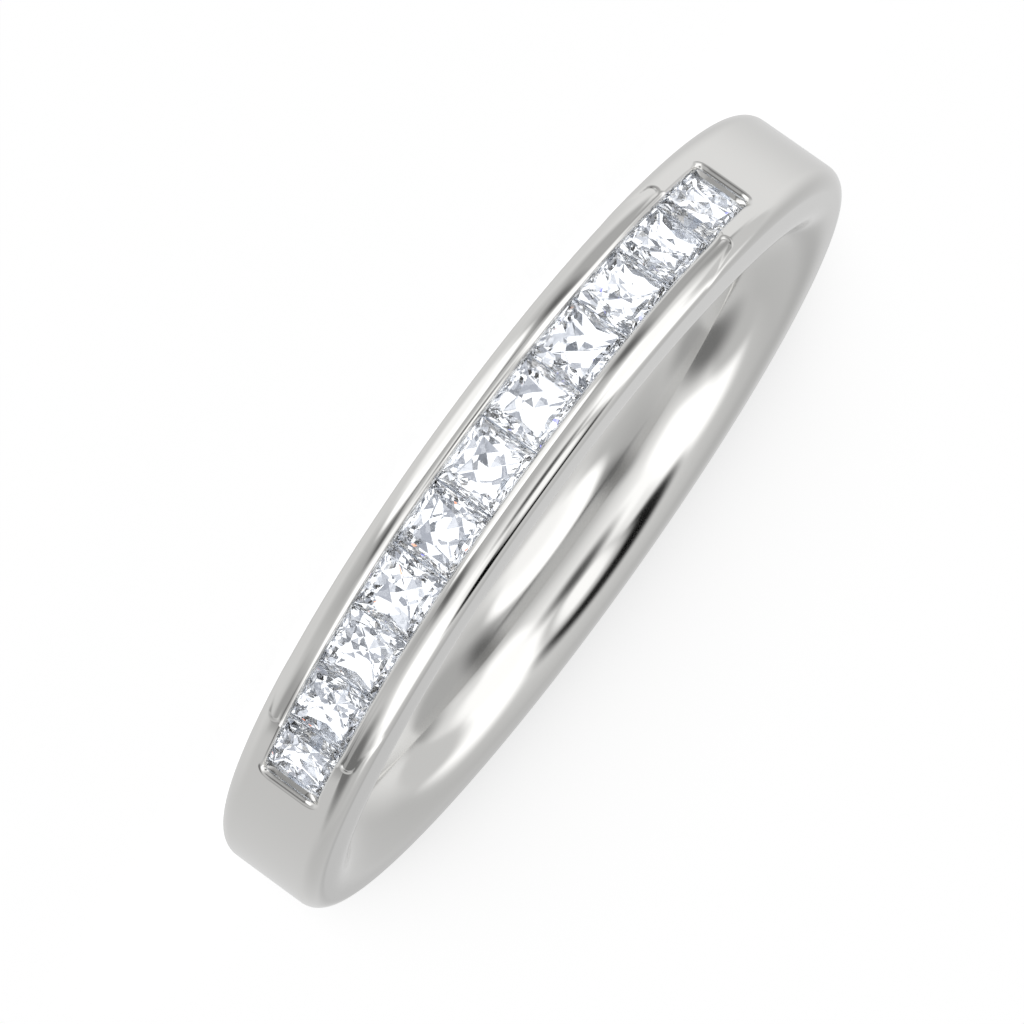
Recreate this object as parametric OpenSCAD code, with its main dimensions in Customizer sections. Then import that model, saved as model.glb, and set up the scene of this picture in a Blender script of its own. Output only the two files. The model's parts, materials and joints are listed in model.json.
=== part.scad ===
// Half eternity ring, channel set with princess-cut stones, lying on its side.
// The ring's axis is Z. The row of stones is centred on -Y, and the side face lies on z = 0.

/* [Band] */
// Radius of the outer face
outer_r = 10.4; // [10.3:0.1:11.5]
// Radius of the finger bore, on its narrow land
bore_r = 8.3; // [7.6:0.1:8.3]
// Width of the band, along the finger
band_w = 2.77; // [2.7:0.01:3.4]
// Rounding of the two outer edges
edge_r = 0.46; // [0.2:0.02:0.46]
// Rounding of the two edges of the bore, the comfort fit
comfort_r = 1; // [0.5:0.05:1]

/* [Cheeks] */
// Radius that the flat sides reach in to at the middle of the head
cheek_in_r = 8.9; // [8.6:0.05:9.2]
// Angle from the middle of the head at which the cheeks have died out
cheek_half = 55; // [50:1:65]

/* [Channel] */
// Half of the angle that the channel spans
channel_half = 52.6; // [52.6:0.1:56]
// Half of the gap between the two rails
rail_gap = 0.72; // [0.68:0.01:0.76]
// Rounding of the rails' inner edges
rail_r = 0.2; // [0.1:0.01:0.2]
// Half of the angle over which the rails' inner edges are rounded
rail_round_half = 44; // [30:1:50]
// Clearance between a stone and the metal round it
seat_gap = 0.03; // [0.02:0.005:0.04]

/* [Stones] */
// Number of stones in the row
stone_count = 11; // [5:2:11]
// Angle from one stone to the next
stone_pitch = 9.55; // [9.5:0.01:9.56]
// Side of a stone's square girdle
stone_w = 1.64; // [1.56:0.01:1.64]
// Radius of the top of the girdles
girdle_r = 10.02; // [10:0.01:10.05]
// Height of the girdle
girdle_h = 0.03; // [0.02:0.01:0.05]
// Height of the crown above the girdle
crown_h = 0.17; // [0.1:0.01:0.2]
// Depth of the pavilion below the girdle
pavilion_h = 0.98; // [0.8:0.01:0.98]
// Side of the table, as a share of the girdle's side
table_share = 0.7; // [0.6:0.01:0.75]

/* [Hidden] */
$fn = 96;
half_w = band_w / 2;
// The side face is flat from here to the outer rounding.
side_flat_r = bore_r + comfort_r;
// The cheeks end on a cylinder whose axis lies behind the ring's own.
cheek_shift = (side_flat_r ^ 2 - cheek_in_r ^ 2)
            / (2 * (cheek_in_r - side_flat_r * cos(cheek_half)));
cheek_cut_r = cheek_in_r + cheek_shift;
// Cutting shapes run past the faces that they cut by this much.
past = 1;
// Depths of the channel: under the rails, down the straight seat, and at its floor.
girdle_low_r = girdle_r - girdle_h;
seat_half = stone_w / 2 + seat_gap;
seat_depth = 0.36;
seat_low_r = girdle_low_r - seat_depth;
floor_r = girdle_low_r - pavilion_h - 2 * seat_gap;
floor_half = 0.3;
// The rail's underside clears the girdles' corners and follows the crown's slope.
girdle_corner_r = norm([girdle_r, stone_w / 2]);
crown_slope = crown_h / (stone_w / 2 * (1 - table_share));
rail_seat_r = girdle_corner_r + seat_gap;
rail_under_r = rail_seat_r + (seat_half - rail_gap) * crown_slope;
// The rails' rounding stops this far short of its crest, and so meets the outer face at an edge.
rail_ease = 0.01;
middle_stone = (stone_count + 1) / 2;

function stone_name(i) = str("stone_", i < 10 ? "0" : "", i);

// The corner left outside a circle of radius r, from its centre out past a square's corner.
module round_off(r) {
    difference() {
        square(r + past);
        circle(r);
    }
}

// Section of the band before its bore is eased: x is the radius, y runs along the axis.
module blank_section() {
    difference() {
        translate([bore_r, -half_w]) square([outer_r - bore_r, band_w]);
        for (side = [0, 1])
            mirror([0, side, 0])
                translate([outer_r - edge_r, half_w - edge_r]) round_off(edge_r);
    }
}

// What the comfort fit takes off both edges of the bore, save for the cheeks.
module comfort_cut() {
    for (side = [0, 1])
        mirror([0, 0, side])
            intersection() {
                rotate_extrude()
                    translate([side_flat_r, half_w - comfort_r])
                        mirror([1, 0, 0]) round_off(comfort_r);
                translate([0, cheek_shift, 0]) cylinder(r = cheek_cut_r, h = half_w + 2 * past);
            }
}

// Turns a section through an angle to each side of the middle of the head.
module over_head(half_angle) {
    rotate([0, 0, -90 - half_angle])
        rotate_extrude(angle = 2 * half_angle) children();
}

// Section of the channel: the gap between the rails, the girdles' seat and the pavilions' room.
module channel_section() {
    right = [
        [outer_r + past, rail_gap],
        [rail_under_r, rail_gap],
        [rail_seat_r, seat_half],
        [seat_low_r, seat_half],
        [floor_r, floor_half]
    ];
    left = [for (i = [len(right) - 1 : -1 : 0]) [right[i][0], -right[i][1]]];
    polygon(concat(right, left));
}

// What rounds the inner edge of each rail, in section.
module rail_edges() {
    crest_r = outer_r - rail_r + rail_ease;
    for (side = [0, 1])
        mirror([0, side, 0])
            difference() {
                translate([crest_r, 0]) square([past, rail_gap + rail_r]);
                translate([crest_r, rail_gap + rail_r]) circle(rail_r);
            }
}

module band() {
    color("silver")
        translate([0, 0, half_w])
            difference() {
                rotate_extrude() blank_section();
                comfort_cut();
                over_head(channel_half) channel_section();
                over_head(rail_round_half) rail_edges();
            }
}

// The four corners of a square with half side h at height z, anticlockwise from above.
function corners(h, z) = [[h, h, z], [-h, h, z], [-h, -h, z], [h, -h, z]];
// The middles of its sides: middle i lies between corner i and the next one.
function middles(h, z) = [[0, h, z], [-h, 0, z], [0, -h, z], [h, 0, z]];

// One princess-cut stone: z = 0 is the top of the girdle, and the table faces +Z.
module princess() {
    s = stone_w / 2;
    p = pavilion_h;
    // Rings of four points each, from the table down to the culet.
    points = concat(
        corners(s * table_share, crown_h),
        middles(s * (1 + table_share) / 2, 0.6 * crown_h),
        corners(s, 0),
        corners(s, -girdle_h),
        middles(s, -girdle_h),
        corners(0.6 * s, -girdle_h - 0.5 * p),
        middles(0.5 * s, -girdle_h - 0.62 * p),
        corners(0.28 * s, -girdle_h - 0.8 * p),
        [[0, 0, -girdle_h - p]]
    );
    table = 0;
    star = 4;
    top = 8;
    low = 12;
    low_mid = 16;
    rib = 20;
    keel = 24;
    rib_low = 28;
    culet = 32;
    faces = concat(
        [[table + 3, table + 2, table + 1, table]],
        [for (i = [0 : 3]) let (j = (i + 1) % 4) each [
            [table + i, table + j, star + i],
            [table + i, star + i, top + i],
            [table + j, top + j, star + i],
            [star + i, top + j, top + i],
            [top + i, top + j, low + j, low_mid + i, low + i],
            [low_mid + i, rib + i, low + i],
            [low_mid + i, low + j, rib + j],
            [low_mid + i, keel + i, rib + i],
            [low_mid + i, rib + j, keel + i],
            [keel + i, rib_low + i, rib + i],
            [keel + i, rib + j, rib_low + j],
            [keel + i, culet, rib_low + i],
            [keel + i, rib_low + j, culet]
        ]]
    );
    polyhedron(points, faces);
}

module stone(i) {
    color("aliceblue")
        translate([0, 0, half_w])
            rotate([0, 0, (i - middle_stone) * stone_pitch])
                translate([0, -girdle_r, 0])
                    rotate([90, 0, 0]) princess();
}

band();
for (i = [1 : stone_count])
    stone(i);
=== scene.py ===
# The finished look of a half eternity ring that lies on its side: a polished band with a
# channel of princess-cut stones, a pale floor, soft studio light and the camera.
import json
import math

import bmesh
import bpy
from mathutils import Matrix, Vector


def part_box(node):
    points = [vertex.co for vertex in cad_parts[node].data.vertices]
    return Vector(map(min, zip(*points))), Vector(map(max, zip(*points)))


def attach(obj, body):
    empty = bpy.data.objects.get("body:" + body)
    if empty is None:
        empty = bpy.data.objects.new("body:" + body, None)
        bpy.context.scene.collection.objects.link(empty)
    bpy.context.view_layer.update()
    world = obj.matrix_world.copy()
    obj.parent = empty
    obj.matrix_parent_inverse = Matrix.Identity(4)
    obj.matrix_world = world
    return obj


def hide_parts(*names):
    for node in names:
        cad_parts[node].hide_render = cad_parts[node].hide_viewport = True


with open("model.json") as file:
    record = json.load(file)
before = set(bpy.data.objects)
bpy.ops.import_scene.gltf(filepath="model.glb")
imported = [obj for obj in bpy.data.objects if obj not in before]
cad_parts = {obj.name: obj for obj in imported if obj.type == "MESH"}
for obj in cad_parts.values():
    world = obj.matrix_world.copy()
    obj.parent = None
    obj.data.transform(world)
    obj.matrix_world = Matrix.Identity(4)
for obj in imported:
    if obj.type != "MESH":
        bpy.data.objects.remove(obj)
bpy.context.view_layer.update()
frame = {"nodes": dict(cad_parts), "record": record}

MM = 0.001

# Sizes in millimetres. The ring's axis is Z, and heights are measured from its mid-plane.
# Angles are measured round the ring, from the middle of the row of stones.
BAND_LOW, BAND_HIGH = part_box("band")
OUTER_R = (BAND_HIGH[0] - BAND_LOW[0]) / 2 / MM
HALF_W = (BAND_HIGH[2] - BAND_LOW[2]) / 2 / MM
MOUNTS = {mount["name"]: mount for mount in frame["record"]["mounts"]}
BORE_R = MOUNTS["finger_bore"]["dims"]["r_mm"]
EDGE_R = 0.46

# The comfort fit is a rounded curve from each side face down to the bore. In the shank it is
# half an ellipse. Beside the stones it is squarer, which leaves the flat cheeks.
SHANK_FLAT_R = 9.79
SHANK_POWER = 2.0
CHEEK_FLAT_R = 9.25
CHEEK_POWER = 6.0
CHEEK_FULL_DEG = 35.0
CHEEK_GONE_DEG = 95.0

# The channel is a pocket with rounded corners in the outer face.
POCKET_HALF_DEG = 52.6
POCKET_HALF_W = 0.718
POCKET_CORNER_R = 0.2
# Its rim is rounded: widely along the two rails, down to a round tip between these angles, then
# narrowly, and more again round the pocket's two ends.
RAIL_R = 0.2
RAIL_FULL_DEG = 40.6
RAIL_GONE_DEG = 43.8
RIM_R = 0.07
END_RIM_R = 0.15
END_RIM_FROM_DEG = 50.0
END_RIM_FULL_DEG = 52.0
# Below the rim: the underside of the rails, the straight seat for the girdles, and the floor.
RAIL_UNDER_R = 10.17
SEAT_TOP_R = 10.08
SEAT_LOW_R = 9.63
SEAT_HALF_W = 0.85
FLOOR_R = 8.95
FLOOR_HALF_W = 0.3
# The pocket's end wall leans in over the last stone's edge, down to this radius and angle.
LEDGE_R = 10.17
LEDGE_DEG = 52.15

# Towards each end of the row a shallow relief sets the rail off from the band's edge. It starts
# as a round tip and widens towards the middle, where it fades. Its edge is eased over a width.
RELIEF_INNER = 0.885
RELIEF_TIP_R = 0.11
RELIEF_WIDENING = 0.1
RELIEF_DEPTH = 0.036
RELIEF_EASE = 0.10
RELIEF_END_DEG = 43.4
RELIEF_FADE_DEG = (16.0, 36.0)

# How finely the band is cut into facets: steps along each curve, and degrees between sections.
RIM_STEPS = 8
LAND_STEPS = 4
EDGE_STEPS = 26
SIDE_STEPS = 4
COMFORT_STEPS = 24
CORNER_STEPS = 8
TIP_STEPS = 20
HEAD_STEP_DEG = 0.75
SHANK_STEP_DEG = 1.5
# Points of each half section that lie inside the rim.
POCKET_POINTS = 5
# An edge is sharp from this angle between its faces.
SHARP_DEG = 35
# Lengths closer than this count as the same, squares closer than this do too, and points closer
# than this, in metres, are merged.
SAME_LENGTH = 1e-6
SAME_SQUARE = 1e-9
MERGE_M = 1e-7

# The polish of the bore is shaded as an arc across the band, with its crest this far off the
# mid-plane and with this radius. It takes over from the section's own slope between these
# angles, and gives way to it again towards each side face, between these heights.
BORE_CREST = -0.245
BORE_ARC_R = 1.49
BORE_SHADE_FROM_DEG = 75.0
BORE_SHADE_FULL_DEG = 115.0
BORE_SHADE_LOW = (-1.385, -1.0)
BORE_SHADE_HIGH = (0.9, 1.3)
# Below the mid-plane the arc stops at this height, which leaves a faint crest along the bore.
BORE_ARC_STOP = -0.21
# Corners this near to the side face's flat belong to it.
FLAT_MARGIN = 1e-3


def clamp(value, low=0.0, high=1.0):
    return max(low, min(high, value))


def smooth(value, start, end):
    """0 at start, 1 at end, with a soft S between."""
    t = clamp((value - start) / (end - start))
    return t * t * (3 - 2 * t)


def mix(a, b, t):
    return a + (b - a) * t


def evenly(start, end, steps):
    """The points between start and end, without either."""
    return [tuple(mix(a, b, i / steps) for a, b in zip(start, end)) for i in range(1, steps)]


def quarter_turn(steps):
    """Angles from 0 to 90 degrees in even steps, in radians."""
    return [math.radians(90 * i / steps) for i in range(steps + 1)]


def comfort_curve(angle):
    """From the side face to the middle of the bore, as (radius, height) points."""
    shank = smooth(abs(angle), CHEEK_FULL_DEG, CHEEK_GONE_DEG)
    flat_r = mix(CHEEK_FLAT_R, SHANK_FLAT_R, shank)
    exponent = 2 / mix(CHEEK_POWER, SHANK_POWER, shank)
    points = [
        (flat_r - (flat_r - BORE_R) * math.sin(t) ** exponent, HALF_W * math.cos(t) ** exponent)
        for t in quarter_turn(COMFORT_STEPS)
    ]
    # The last point lies on the mid-plane itself.
    points[-1] = (points[-1][0], 0.0)
    return points


def outer_edge():
    """The rounding between the outer face and the side face."""
    return [
        (OUTER_R - EDGE_R + EDGE_R * math.cos(t), HALF_W - EDGE_R + EDGE_R * math.sin(t))
        for t in quarter_turn(EDGE_STEPS)
    ]


def relief_depth(angle, height):
    """How deep the relief beside the rail is at a place on the outer face."""
    from_tip = math.radians(RELIEF_END_DEG - abs(angle)) * OUTER_R
    half_width = RELIEF_TIP_R + RELIEF_WIDENING * max(0.0, from_tip - RELIEF_TIP_R)
    across = height - RELIEF_INNER - half_width
    outside = math.hypot(max(0.0, RELIEF_TIP_R - from_tip), across) - half_width
    eased = clamp(1 - outside / RELIEF_EASE)
    return RELIEF_DEPTH * smooth(abs(angle), *RELIEF_FADE_DEG) * eased ** 2


def rim_radius(angle):
    """Rounding of the pocket's rim: wide along the head, down to a round tip, then narrow until
    it widens again round the pocket's end."""
    angle = abs(angle)
    run_out = clamp((angle - RAIL_FULL_DEG) / (RAIL_GONE_DEG - RAIL_FULL_DEG))
    rail = mix(RIM_R, RAIL_R, math.sqrt(1 - run_out ** 2))
    return mix(rail, END_RIM_R, smooth(angle, END_RIM_FROM_DEG, END_RIM_FULL_DEG))


def pocket_half_width(along, offset):
    """Half the width of the pocket's outline, grown by offset, at a distance along the band.
    None beyond its end."""
    straight = math.radians(POCKET_HALF_DEG) * OUTER_R - POCKET_CORNER_R
    beyond = abs(along) - straight
    if beyond <= 0:
        return POCKET_HALF_W + offset
    reach = (POCKET_CORNER_R + offset) ** 2 - beyond ** 2
    if reach < -SAME_SQUARE:
        return None
    return POCKET_HALF_W - POCKET_CORNER_R + math.sqrt(max(0.0, reach))


def rim_curve(along, rim_r):
    """Up the rounding of the rim, with None for each point that has no rim under it."""
    rim = []
    for t in reversed(quarter_turn(RIM_STEPS)):
        half_width = pocket_half_width(along, rim_r * (1 - math.sin(t)))
        rim.append(None if half_width is None else (OUTER_R - rim_r * (1 - math.cos(t)), half_width))
    return rim


def pocket_curve(angle, open_pocket):
    """From the middle of the channel out to the top of the rim's rounding."""
    along = math.radians(angle) * OUTER_R
    rim_r = rim_radius(angle)
    rim = rim_curve(along, rim_r)
    wall = pocket_half_width(along, 0)
    if open_pocket:
        seat = SEAT_HALF_W * (wall / POCKET_HALF_W)
        return [
            (FLOOR_R, 0.0),
            (FLOOR_R, FLOOR_HALF_W),
            (SEAT_LOW_R, seat),
            (SEAT_TOP_R, seat),
            (RAIL_UNDER_R, wall),
        ] + rim
    # The end wall leans in below the pocket's rim. Beyond the rim the surface is whole.
    past_wall = abs(along) - math.radians(POCKET_HALF_DEG) * OUTER_R
    if past_wall < -SAME_LENGTH:
        climb = (abs(angle) - LEDGE_DEG) / (POCKET_HALF_DEG - LEDGE_DEG)
        ledge = mix(LEDGE_R, OUTER_R - rim_r, climb)
        top = [(ledge, wall * i / POCKET_POINTS) for i in range(POCKET_POINTS)]
        return top + [(max(ledge, radius), width) for radius, width in rim]
    dip = rim_r - math.sqrt(max(0.0, rim_r ** 2 - max(0.0, rim_r - past_wall) ** 2))
    if past_wall > rim_r - SAME_LENGTH:
        dip = 0.0
        rim = [None] * RIM_STEPS + [(OUTER_R, POCKET_HALF_W + rim_r)]
    flat = [point for point in rim if point is not None]
    middle_w = min(POCKET_HALF_W - POCKET_CORNER_R, flat[0][1])
    count = POCKET_POINTS + len(rim) - len(flat)
    return [(OUTER_R - dip, middle_w * i / count) for i in range(count)] + flat


def half_section(angle, open_pocket):
    """One half of the band's section, from the middle of its outside to the middle of its bore."""
    pocket = pocket_curve(angle, open_pocket)
    edge = outer_edge()
    comfort = comfort_curve(angle)
    outside = pocket[POCKET_POINTS:] + evenly(pocket[-1], edge[0], LAND_STEPS) + edge
    relieved = [(radius - relief_depth(angle, height), height) for radius, height in outside]
    return pocket[:POCKET_POINTS] + relieved + evenly(edge[-1], comfort[0], SIDE_STEPS) + comfort


def section_angles():
    """(angle, whether the pocket is open there) from the middle of the head to the back."""
    corner_deg = math.degrees(POCKET_CORNER_R / OUTER_R)
    straight_deg = POCKET_HALF_DEG - corner_deg
    straight_steps = math.ceil(straight_deg / HEAD_STEP_DEG)
    angles = [(straight_deg * i / straight_steps, True) for i in range(straight_steps)]
    tip_from = RELIEF_END_DEG - math.degrees(RELIEF_TIP_R / OUTER_R)
    tip_to = RELIEF_END_DEG + math.degrees(RELIEF_EASE / OUTER_R)
    angles += [(mix(tip_from, tip_to, i / TIP_STEPS), True) for i in range(TIP_STEPS + 1)]
    angles.sort()
    for t in quarter_turn(CORNER_STEPS):
        angle = POCKET_HALF_DEG - corner_deg * (1 - math.sin(t))
        angles.append((angle, angle < LEDGE_DEG))
    split = [is_open for angle, is_open in angles].index(False)
    angles[split:split] = [(LEDGE_DEG, True), (LEDGE_DEG, False)]
    rim_deg = math.degrees(END_RIM_R / OUTER_R)
    for t in reversed(quarter_turn(RIM_STEPS)):
        angles.append((POCKET_HALF_DEG + rim_deg * (1 - math.sin(t)), False))
    start_deg = angles[-1][0]
    shank_steps = math.ceil((180 - start_deg) / SHANK_STEP_DEG)
    angles += [(mix(start_deg, 180, i / shank_steps), False) for i in range(1, shank_steps + 1)]
    return angles


def band_points():
    """The points of every section round the ring, and how many sections there are."""
    right = section_angles()
    left = [(-angle, is_open) for angle, is_open in right[1:-1]]
    around = left[::-1] + right
    points = []
    for angle, is_open in around:
        half = half_section(angle, is_open)
        mirrored = [(radius, -height) for radius, height in half[-2:0:-1]]
        turn = math.radians(angle)
        for radius, height in half + mirrored:
            points.append((
                radius * math.sin(turn) * MM,
                -radius * math.cos(turn) * MM,
                (height + HALF_W) * MM,
            ))
    return points, len(around)


def band_mesh():
    """The band as one closed mesh, lofted round the ring through its sections."""
    points, sections = band_points()
    ring = len(points) // sections
    faces = []
    for i in range(sections):
        here, there = i * ring, (i + 1) % sections * ring
        for j in range(ring):
            k = (j + 1) % ring
            faces.append((here + j, there + j, there + k, here + k))
    mesh = bpy.data.meshes.new("band_smooth")
    mesh.from_pydata(points, [], faces)
    tidy = bmesh.new()
    tidy.from_mesh(mesh)
    bmesh.ops.remove_doubles(tidy, verts=tidy.verts, dist=MERGE_M)
    bmesh.ops.recalc_face_normals(tidy, faces=tidy.faces)
    tidy.to_mesh(mesh)
    tidy.free()
    mesh.polygons.foreach_set("use_smooth", [True] * len(mesh.polygons))
    mesh.set_sharp_from_angle(angle=math.radians(SHARP_DEG))
    shade_bore(mesh)
    return mesh


def shade_bore(mesh):
    """Gives the bore's corners the normals of the arc that its polish follows."""
    normals = [Vector(corner.vector) for corner in mesh.corner_normals]
    below = [face.center.z < HALF_W * MM for face in mesh.polygons for corner in face.loop_indices]
    for loop in mesh.loops:
        x, y, z = (part / MM for part in mesh.vertices[loop.vertex_index].co)
        height = z - HALF_W
        radius = math.hypot(x, y)
        angle = math.degrees(math.atan2(abs(x), -y))
        share = smooth(angle, BORE_SHADE_FROM_DEG, BORE_SHADE_FULL_DEG) * smooth(height, *BORE_SHADE_LOW)
        share *= 1 - smooth(height, *BORE_SHADE_HIGH)
        if radius > SHANK_FLAT_R - FLAT_MARGIN or not share:
            continue
        arc_height = min(height, BORE_ARC_STOP) if below[loop.index] else height
        slope = math.asin(clamp((arc_height - BORE_CREST) / BORE_ARC_R, -1.0, 1.0))
        inward = Vector((-x / radius, -y / radius, 0))
        arc = inward * math.cos(slope) + Vector((0, 0, math.sin(slope)))
        normals[loop.index] = normals[loop.index].lerp(arc, share).normalized()
    mesh.normals_split_custom_set(normals)


# Reflectance of the metal, and of the bright-cut seats that throw light back into the stones.
PLATINUM = (0.735, 0.73, 0.715, 1)
BRIGHT_CUT = (0.95, 0.97, 1.0, 1)
# Roughness of the polish at its finest and at its haziest. The bore is polished less finely.
OUTSIDE_ROUGHNESS = (0.055, 0.11)
BORE_ROUGHNESS = (0.09, 0.14)
CUT_ROUGHNESS = 0.1
HAZE_SCALE = 900.0
HAZE_DETAIL = 4.0
DIAMOND_IOR = 2.42


def principled(name, values):
    """A material with these values on its shader's own sockets."""
    material = bpy.data.materials.new(name)
    material.use_nodes = True
    shader = material.node_tree.nodes["Principled BSDF"]
    for socket, value in values.items():
        shader.inputs[socket].default_value = value
    return material


def platinum(name, roughness):
    """Polished white metal, with a faint haze in the polish."""
    material = principled(name, {"Base Color": PLATINUM, "Metallic": 1.0})
    nodes, links = material.node_tree.nodes, material.node_tree.links
    place = nodes.new("ShaderNodeTexCoord")
    haze = nodes.new("ShaderNodeTexNoise")
    haze.inputs["Scale"].default_value = HAZE_SCALE
    haze.inputs["Detail"].default_value = HAZE_DETAIL
    links.new(place.outputs["Object"], haze.inputs["Vector"])
    polish = nodes.new("ShaderNodeMapRange")
    polish.inputs["To Min"].default_value, polish.inputs["To Max"].default_value = roughness
    links.new(haze.outputs["Fac"], polish.inputs["Value"])
    links.new(polish.outputs["Result"], nodes["Principled BSDF"].inputs["Roughness"])
    return material


def bright_cut():
    """The freshly cut metal under the stones."""
    return principled("bright_cut", {
        "Base Color": BRIGHT_CUT,
        "Metallic": 1.0,
        "Roughness": CUT_ROUGHNESS,
    })


def diamond():
    """Clear cut stone with a diamond's refraction."""
    return principled("diamond", {
        "Base Color": (1.0, 1.0, 1.0, 1),
        "Roughness": 0.0,
        "IOR": DIAMOND_IOR,
        "Transmission Weight": 1.0,
    })


def add_object(name, data):
    """A new object in the scene."""
    thing = bpy.data.objects.new(name, data)
    bpy.context.scene.collection.objects.link(thing)
    return thing


# The band's finishes, in the order of its materials.
OUTSIDE, CUT, BORE = range(3)
# How far the bright-cut metal may pass the pocket's end, and the seat's sides and floor.
CUT_MARGIN_DEG = 0.5
CUT_MARGIN = 0.01
# Faces this near to the side faces belong to them.
SIDE_MARGIN = 1e-4


def finish_at(x, y, z):
    """Which finish the band has at the middle of a face."""
    radius, height = math.hypot(x, y), abs(z - HALF_W)
    angle = abs(math.degrees(math.atan2(x, -y)))
    in_channel = angle < POCKET_HALF_DEG + CUT_MARGIN_DEG and height < SEAT_HALF_W + CUT_MARGIN
    if in_channel and FLOOR_R - CUT_MARGIN < radius < SEAT_TOP_R:
        return CUT
    if height < HALF_W - SIDE_MARGIN and radius < SHANK_FLAT_R:
        return BORE
    return OUTSIDE


def make_band():
    band = add_object("band_smooth", band_mesh())
    band.data.materials.append(platinum("platinum", OUTSIDE_ROUGHNESS))
    band.data.materials.append(bright_cut())
    band.data.materials.append(platinum("platinum_bore", BORE_ROUGHNESS))
    for face in band.data.polygons:
        face.material_index = finish_at(*(part / MM for part in face.center))
    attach(band, "root")
    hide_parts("band")


def dress_stones():
    material = diamond()
    for name, stone in frame["nodes"].items():
        if name.startswith("stone_"):
            stone.data.materials.clear()
            stone.data.materials.append(material)


# The studio: a wide tent of light around the ring, which only reflections see. It is laid out by
# two angles from the ring's centre. "Up" is 0 level towards the head, 90 straight overhead and
# -90 below, and "sideways" is positive towards +X.
TENT_R = 1000.0
TENT_GAIN = 1.19
TENT_UP = (
    (-180, 0.62), (-150, 0.61), (-120, 0.69), (-85, 0.70), (-60, 0.54), (-25, 0.46), (-8, 0.46),
    (0, 0.52), (8, 0.50), (16, 0.58), (26, 0.76), (45, 0.98), (75, 0.95), (100, 0.80), (120, 0.62),
    (140, 0.52), (160, 0.54), (180, 0.62),
)
# The two ends of the tent: where each begins, where it is full, and its brightness.
TENT_ENDS = ((-25, -65, 0.80), (40, 70, 0.60))
# Lamps and dark cards, each over the ones before it: what it is, its middle sideways and up,
# half its width and height, softness of its edge, brightness, squareness and turn.
TENT_CARDS = (
    ("left low end", -70, -28, 32, 48, 0.35, 0.44, 3.0, 0),
    ("left end flag", -92, 60, 20, 78, 0.45, 0.36, 3.0, 0),
    ("left softbox", -33.5, 78, 14, 50, 0.18, 1.25, 3.0, -8),
    ("left softbox's foot", -42, 63, 17, 22, 0.35, 1.15, 2.6, 0),
    ("right softbox", 33.5, 81, 15, 40, 0.2, 1.25, 2.8, 12),
    ("right softbox's foot", 18, 58, 10, 12, 0.4, 1.15, 2.2, 0),
    ("left rear end", -56, 114, 22, 24, 0.22, 0.62, 3.0, -26),
    ("right rear end", 58, 116, 22, 26, 0.22, 0.54, 3.0, 26),
    ("right end flag", 88, 55, 24, 80, 0.35, 0.18, 3.0, 10),
    ("right low end", 84, -58, 20, 42, 0.4, 0.38, 3.0, 0),
    ("rear gap", 5.5, 160, 5, 18, 0.9, 0.45, 2.0, 0),
    ("black flag", 0.5, 97, 16, 15, 0.25, 0.0, 2.2, -20),
    ("gap under the flag", -6, 79, 13, 20, 0.2, 0.55, 2.2, -8),
    ("round softbox", -5.5, 77, 9, 15, 0.3, 1.12, 2.3, 0),
    ("grey flag", -5.5, 52, 15, 9, 0.7, 0.10, 2.0, 0),
    ("slot over the low softbox", -2, -11.5, 38, 1.8, 0.5, 0.12, 4.0, 0),
    ("low softbox", -4, -36, 28, 24, 0.16, 1.3, 2.1, 0),
    ("low softbox's glow", -5, -56, 18, 22, 0.6, 1.05, 2.0, 0),
    ("left stand", -46, -12, 8, 24, 0.8, 0.14, 2.0, 8),
    ("right stand", 28, -2, 8, 18, 0.8, 0.13, 2.0, -8),
)


class Formula:
    """Builds a material's sums out of math nodes."""

    def __init__(self, tree):
        self.tree = tree

    def math(self, operation, *values):
        node = self.tree.nodes.new("ShaderNodeMath")
        node.operation = operation
        for socket, value in zip(node.inputs, values):
            if isinstance(value, (int, float)):
                socket.default_value = value
            else:
                self.tree.links.new(value, socket)
        return node.outputs[0]

    def step(self, value, start, end, low, high):
        """A soft step: low before start, high after end."""
        node = self.tree.nodes.new("ShaderNodeMapRange")
        node.interpolation_type = "SMOOTHSTEP"
        self.tree.links.new(value, node.inputs["Value"])
        for name, number in (("From Min", start), ("From Max", end), ("To Min", low), ("To Max", high)):
            node.inputs[name].default_value = number
        return node.outputs["Result"]

    def cover(self, under, share, brightness):
        """The brightness laid over what is under it, by its share."""
        left = self.math("MULTIPLY", under, self.math("SUBTRACT", 1.0, share))
        return self.math("MULTIPLY_ADD", share, brightness, left)

    def outward(self):
        """The direction of a point on the tent from its centre."""
        place = self.tree.nodes.new("ShaderNodeTexCoord")
        direction = self.tree.nodes.new("ShaderNodeVectorMath")
        direction.operation = "NORMALIZE"
        self.tree.links.new(place.outputs["Object"], direction.inputs[0])
        return direction.outputs[0]

    def ramp(self, value, interpolation, stops):
        """The colour at a value, from (position, colour) stops."""
        node = self.tree.nodes.new("ShaderNodeValToRGB")
        node.color_ramp.interpolation = interpolation
        elements = node.color_ramp.elements
        while len(elements) < len(stops):
            elements.new(0.5)
        for element, (position, colour) in zip(elements, stops):
            element.position = position
        for element, (position, colour) in zip(elements, stops):
            element.color = (*colour, 1)
        self.tree.links.new(value, node.inputs["Fac"])
        return node.outputs["Color"]


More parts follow.
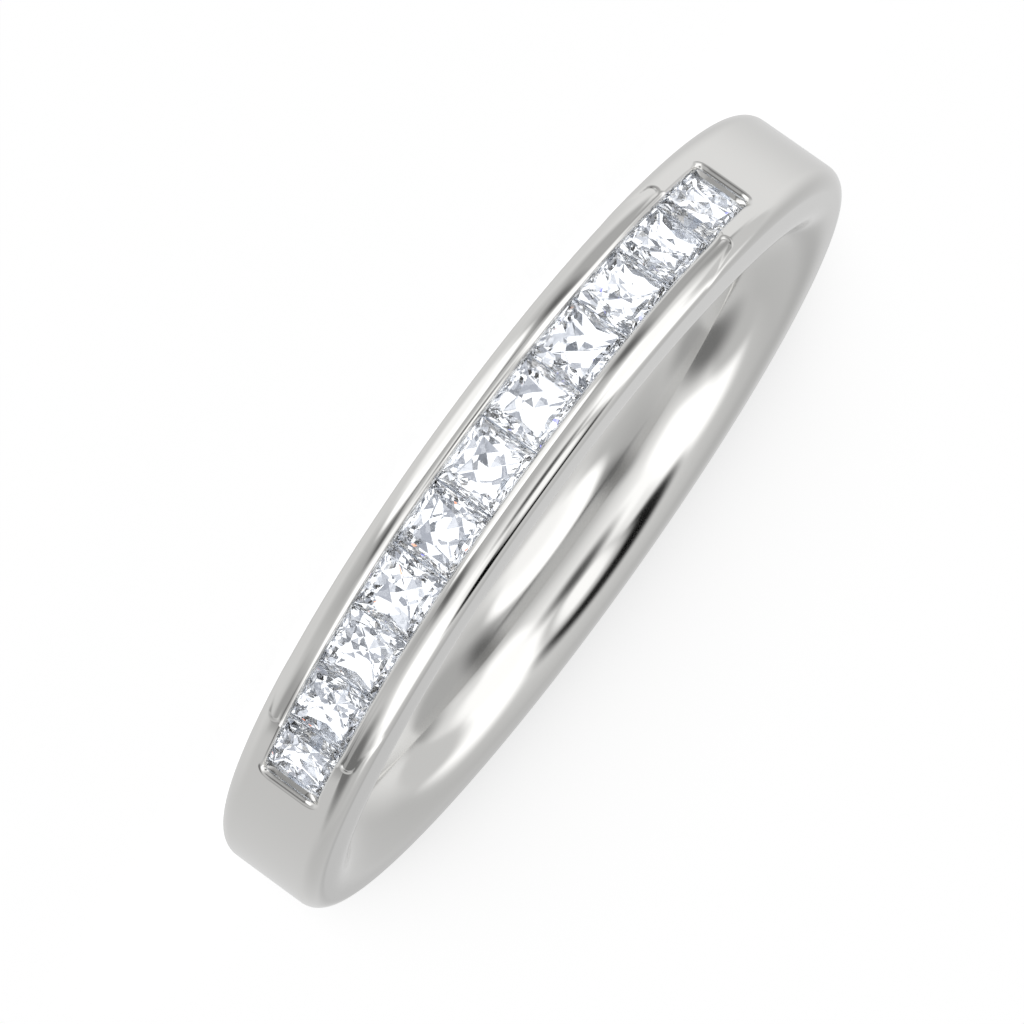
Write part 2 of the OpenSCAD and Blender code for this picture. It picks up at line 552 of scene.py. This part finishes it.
def lay_card(formula, under, sideways, up, card):
    """The brightness at a direction once a card is laid over what is under it."""
    name, side, height, half_w, half_h, soft, level, square, turn = card
    c, s = math.cos(math.radians(turn)), math.sin(math.radians(turn))
    across = formula.math("SUBTRACT", sideways, side)
    along = formula.math("SUBTRACT", up, height)
    x = formula.math("MULTIPLY_ADD", across, c / half_w, formula.math("MULTIPLY", along, s / half_w))
    y = formula.math("MULTIPLY_ADD", along, c / half_h, formula.math("MULTIPLY", across, -s / half_h))
    powers = [formula.math("POWER", formula.math("ABSOLUTE", part), square) for part in (x, y)]
    reach = formula.math("POWER", formula.math("ADD", *powers), 1 / square)
    return formula.cover(under, formula.step(reach, 1 - soft, 1 + soft, 1, 0), level)


def tent_brightness(tree):
    """Brightness of the tent as a node output, from the angles of a point on it."""
    formula = Formula(tree)
    axes = tree.nodes.new("ShaderNodeSeparateXYZ")
    tree.links.new(formula.outward(), axes.inputs[0])
    towards_head = formula.math("MULTIPLY", axes.outputs["Y"], -1.0)
    up = formula.math("DEGREES", formula.math("ARCTAN2", axes.outputs["Z"], towards_head))
    sideways = formula.math("DEGREES", formula.math("ARCSINE", axes.outputs["X"]))

    round_share = formula.math("MULTIPLY_ADD", up, 1 / 360, 0.5)
    stops = [((degrees + 180) / 360, (level, level, level)) for degrees, level in TENT_UP]
    brightness = formula.ramp(round_share, "LINEAR", stops)
    for begins, full, level in TENT_ENDS:
        outwards = formula.math("MULTIPLY", sideways, math.copysign(1.0, full))
        brightness = formula.cover(brightness, formula.step(outwards, abs(begins), abs(full), 0, 1), level)
    for card in TENT_CARDS:
        brightness = lay_card(formula, brightness, sideways, up, card)
    return formula.math("MULTIPLY", brightness, TENT_GAIN)


# What the light sees that passes through a stone: cool white panels and blue-grey gaps at random,
# from the darkest up, each with the share of the panels at which it begins.
GLITTER_R = 1100.0
GLITTER_SCALE = 3.2
GLITTER = (
    (0.0, (0.20, 0.22, 0.26)),
    (0.20, (0.44, 0.47, 0.54)),
    (0.45, (0.85, 0.89, 0.97)),
    (0.68, (1.60, 1.64, 1.70)),
)
# Two small coloured lamps that stand in for the stones' fire: what it is, its direction, size and
# colour. Each fades out at this many times its size.
FIRE = (
    ("orange", (0.35, -0.60, 0.72), 0.045, (2.2, 0.55, 0.20)),
    ("violet", (-0.55, -0.70, 0.45), 0.045, (0.35, 0.35, 1.9)),
)
FIRE_FADE = 1.5
# The colour sockets of a mix node, whose names it also gives to others.
MIX_UNDER, MIX_OVER, MIX_RESULT = 6, 7, 2


def glitter_colour(tree):
    """Colour of the panels round the stones, by direction."""
    formula = Formula(tree)
    outward = formula.outward()
    panels = tree.nodes.new("ShaderNodeTexVoronoi")
    panels.inputs["Scale"].default_value = GLITTER_SCALE
    tree.links.new(outward, panels.inputs["Vector"])
    pick = tree.nodes.new("ShaderNodeSeparateColor")
    tree.links.new(panels.outputs["Color"], pick.inputs[0])
    colour = formula.ramp(pick.outputs[0], "CONSTANT", GLITTER)
    for name, direction, size, tint in FIRE:
        near = tree.nodes.new("ShaderNodeVectorMath")
        near.operation = "DISTANCE"
        tree.links.new(outward, near.inputs[0])
        near.inputs[1].default_value = Vector(direction).normalized()
        lamp = tree.nodes.new("ShaderNodeMix")
        lamp.data_type = "RGBA"
        share = formula.step(near.outputs["Value"], size, size * FIRE_FADE, 1, 0)
        tree.links.new(share, lamp.inputs["Factor"])
        tree.links.new(colour, lamp.inputs[MIX_UNDER])
        lamp.inputs[MIX_OVER].default_value = (*tint, 1)
        colour = lamp.outputs[MIX_RESULT]
    return colour


# How finely the tents' spheres are divided.
TENT_SUBDIVISIONS = 5


def tent(name, radius, light, seen_by):
    """A sphere of light round the ring that only one kind of ray sees."""
    mesh = bpy.data.meshes.new(name)
    ball = bmesh.new()
    bmesh.ops.create_icosphere(ball, subdivisions=TENT_SUBDIVISIONS, radius=radius * MM)
    ball.to_mesh(mesh)
    ball.free()
    sphere = add_object(name, mesh)
    sphere.location = (0, 0, HALF_W * MM)
    material = bpy.data.materials.new(name)
    material.use_nodes = True
    tree = material.node_tree
    tree.nodes.remove(tree.nodes["Principled BSDF"])
    glow = tree.nodes.new("ShaderNodeEmission")
    tree.links.new(light(tree), glow.inputs["Color"])
    tree.links.new(glow.outputs[0], tree.nodes["Material Output"].inputs["Surface"])
    mesh.materials.append(material)
    material.cycles.emission_sampling = "NONE"
    sphere.visible_camera = False
    sphere.visible_diffuse = False
    sphere.visible_shadow = False
    sphere.visible_glossy = seen_by == "reflections"
    sphere.visible_transmission = seen_by == "stones"


# The floor is lit by an even sky, by a glow of its own, and by a soft lamp in front of the head
# that is low enough to lay the ring's shadow behind it.
SKY = 0.28
FLOOR_HALF_M = 3.0
FLOOR_GREY = 0.9
FLOOR_GLOW = 0.50
LAMP_STRENGTH = 9.0
LAMP_UP_DEG = 5.5
LAMP_SOFT_DEG = 8.0


def plain_sky():
    world = bpy.data.worlds.new("studio")
    bpy.context.scene.world = world
    world.use_nodes = True
    world.node_tree.nodes["Background"].inputs["Color"].default_value = (SKY, SKY, SKY, 1)


def soft_lamp():
    data = bpy.data.lights.new("soft_lamp", "SUN")
    data.energy = LAMP_STRENGTH
    data.angle = math.radians(LAMP_SOFT_DEG)
    lamp = add_object("soft_lamp", data)
    lamp.rotation_euler = (math.radians(90 - LAMP_UP_DEG), 0, 0)
    lamp.visible_glossy = False
    lamp.visible_transmission = False


def make_floor():
    mesh = bpy.data.meshes.new("floor")
    h = FLOOR_HALF_M
    mesh.from_pydata([(-h, -h, 0), (h, -h, 0), (h, h, 0), (-h, h, 0)], [], [(0, 1, 2, 3)])
    floor = add_object("floor", mesh)
    material = principled("floor", {
        "Base Color": (FLOOR_GREY, FLOOR_GREY, FLOOR_GREY, 1),
        "Roughness": 1.0,
        "Specular IOR Level": 0.0,
        "Emission Color": (1, 1, 1, 1),
        "Emission Strength": FLOOR_GLOW,
    })
    mesh.materials.append(material)
    floor.visible_glossy = False
    floor.visible_transmission = False


# The camera, as fitted to the photograph, in millimetres and degrees. It stands this far away
# from the ring's centre, and this far right and up as the picture shows it.
IMAGE_PX = 1024
FOCAL_PX = 6087.54
SENSOR_MM = 36.0
CAMERA_UP_DEG = 8.465
CAMERA_SIDE_DEG = 1.091
CAMERA_ROLL_DEG = 125.629
CAMERA_AWAY = 140.293
CAMERA_RIGHT = -0.56
CAMERA_RAISE = 0.041
CLIP_M = (0.001, 50)


def make_camera():
    up_angle, side, roll = (math.radians(a) for a in (CAMERA_UP_DEG, CAMERA_SIDE_DEG, CAMERA_ROLL_DEG))
    back = Vector((
        math.sin(side) * math.cos(up_angle),
        -math.cos(side) * math.cos(up_angle),
        math.sin(up_angle),
    ))
    level = Vector((0, 0, 1)).cross(back).normalized()
    upright = back.cross(level)
    right = math.cos(roll) * level + math.sin(roll) * upright
    up = -math.sin(roll) * level + math.cos(roll) * upright
    place = back * CAMERA_AWAY + right * CAMERA_RIGHT + up * CAMERA_RAISE + Vector((0, 0, HALF_W))
    turn = Matrix((right, up, back)).transposed().to_4x4()
    data = bpy.data.cameras.new("camera")
    data.sensor_width = SENSOR_MM
    data.lens = FOCAL_PX / IMAGE_PX * SENSOR_MM
    data.clip_start, data.clip_end = CLIP_M
    camera = add_object("camera", data)
    camera.matrix_world = Matrix.Translation(place * MM) @ turn
    bpy.context.scene.camera = camera


# Light passes many facets on its way through a stone.
BOUNCES = 32
GLOSSY_BOUNCES = 24


def set_picture():
    scene = bpy.context.scene
    scene.view_settings.view_transform = "Standard"
    scene.cycles.max_bounces = BOUNCES
    scene.cycles.transmission_bounces = BOUNCES
    scene.cycles.glossy_bounces = GLOSSY_BOUNCES


make_band()
dress_stones()
tent("light_tent", TENT_R, tent_brightness, "reflections")
tent("stone_tent", GLITTER_R, glitter_colour, "stones")
plain_sky()
soft_lamp()
make_floor()
make_camera()
set_picture()
